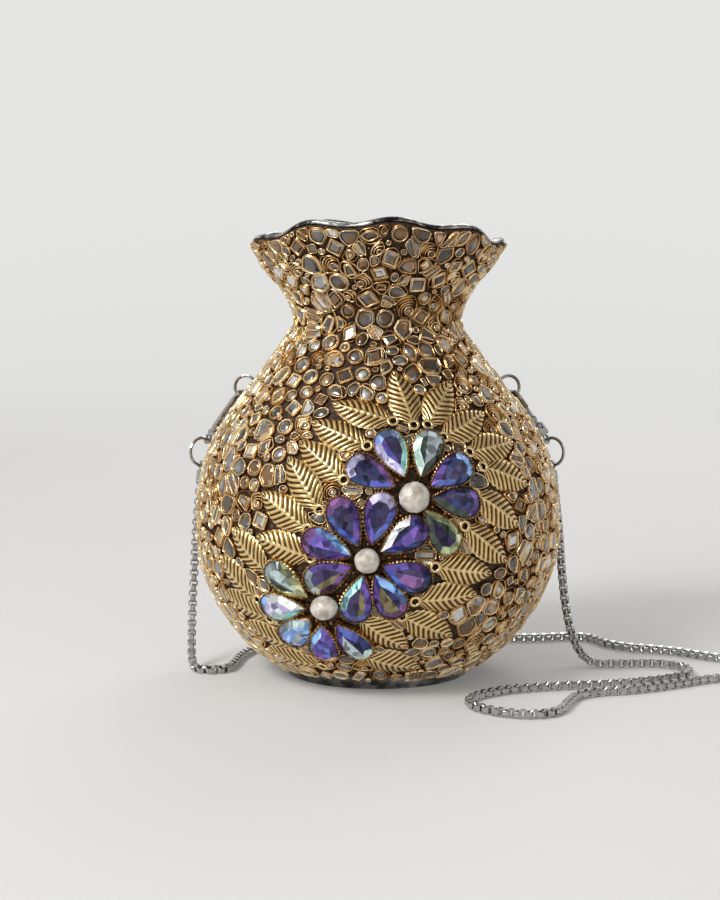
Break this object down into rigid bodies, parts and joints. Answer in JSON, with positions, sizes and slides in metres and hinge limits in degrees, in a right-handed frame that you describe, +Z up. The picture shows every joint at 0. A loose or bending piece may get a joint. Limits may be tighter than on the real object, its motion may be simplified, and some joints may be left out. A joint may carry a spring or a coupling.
{
  "type": "potli bag",
  "caption": "Rigid round potli bag with a narrow neck, flared wavy mouth, jewelled wall, glass flowers, metal leaves and a chain strap on swivel clasps.",
  "frame": {"origin": "centre of the flat base, on the surface that the bag stands on", "axes": "+Z up through the mouth, -Y out of the side with the flowers, +X to the right seen from that side"},
  "size_m": [0.2473, 0.1419, 0.1636],
  "materials": {
    "nickel": "polished nickel plate",
    "antique_gold": "antique gold wire and resin, set with clear stones",
    "leaf_gold": "pressed pale gold, satin",
    "violet_glass": "faceted foiled glass, iridescent violet",
    "pearl": "pearl, soft gloss",
    "black_lining": "black velvet"
  },
  "bodies": {
    "root": {"pot_shell": "nickel", "lining": "black_lining", "mosaic_coat": "antique_gold", "pearl_upper": "pearl", "pearl_middle": "pearl", "pearl_lower": "pearl", "petal_upper_1": "violet_glass", "petal_upper_2": "violet_glass", "petal_upper_3": "violet_glass", "petal_upper_4": "violet_glass", "petal_upper_5": "violet_glass", "petal_upper_6": "violet_glass", "petal_middle_1": "violet_glass", "petal_middle_2": "violet_glass", "petal_middle_3": "violet_glass", "petal_middle_4": "violet_glass", "petal_middle_5": "violet_glass", "petal_middle_6": "violet_glass", "petal_middle_7": "violet_glass", "petal_middle_8": "violet_glass", "petal_lower_1": "violet_glass", "petal_lower_2": "violet_glass", "petal_lower_3": "violet_glass", "petal_lower_4": "violet_glass", "petal_lower_5": "violet_glass", "leaf_01": "leaf_gold", "leaf_02": "leaf_gold", "leaf_03": "leaf_gold", "leaf_04": "leaf_gold", "leaf_05": "leaf_gold", "leaf_06": "leaf_gold", "leaf_07": "leaf_gold", "leaf_08": "leaf_gold", "leaf_09": "leaf_gold", "leaf_10": "leaf_gold", "leaf_11": "leaf_gold", "leaf_12": "leaf_gold", "leaf_13": "leaf_gold", "leaf_14": "leaf_gold", "leaf_15": "leaf_gold", "leaf_16": "leaf_gold", "leaf_17": "leaf_gold", "leaf_18": "leaf_gold", "leaf_19": "leaf_gold", "leaf_20": "leaf_gold", "ear_right": "nickel", "swivel_eye_right": "nickel", "chain_end_right": "nickel", "chain_right": "nickel", "ear_left": "nickel", "swivel_eye_left": "nickel", "chain_end_left": "nickel", "chain_left": "nickel", "chain_coil": "nickel"},
    "clasp_right": {"clasp_right": "nickel"},
    "trigger_right": {"trigger_right": "nickel"},
    "ring_right": {"ring_right": "nickel"},
    "clasp_left": {"clasp_left": "nickel"},
    "trigger_left": {"trigger_left": "nickel"},
    "ring_left": {"ring_left": "nickel"}
  },
  "joints": [
    {"name": "clasp_right_swivel", "type": "hinge", "parent": "root", "child": "clasp_right", "pos_m": [0.0608, 0.01743, 0.0853], "axis": [-0.573, -0.1643, 0.8029], "range_deg": [-10, 10]},
    {"name": "trigger_right_press", "type": "hinge", "parent": "clasp_right", "child": "trigger_right", "pos_m": [0.05956, 0.01438, 0.08803], "axis": [-0.7718, -0.2213, -0.5961], "range_deg": [0, 20], "stiffness_Nm_per_rad": 0.0006, "springref_deg": -8.59},
    {"name": "ring_right_turn", "type": "hinge", "parent": "root", "child": "ring_right", "pos_m": [0.06484, 0.01645, 0.07803], "axis": [-0.6157, -0.788, 0], "continuous": true},
    {"name": "clasp_left_swivel", "type": "hinge", "parent": "root", "child": "clasp_left", "pos_m": [-0.0608, 0.01743, 0.0853], "axis": [0.573, -0.1643, 0.8029], "range_deg": [-10, 10]},
    {"name": "trigger_left_press", "type": "hinge", "parent": "clasp_left", "child": "trigger_left", "pos_m": [-0.05813, 0.01937, 0.08803], "axis": [0.7718, -0.2213, -0.5961], "range_deg": [0, 20], "stiffness_Nm_per_rad": 0.0006, "springref_deg": -8.59},
    {"name": "ring_left_turn", "type": "hinge", "parent": "root", "child": "ring_left", "pos_m": [-0.06484, 0.01645, 0.07803], "axis": [-0.6157, 0.788, 0], "continuous": true}
  ]
}
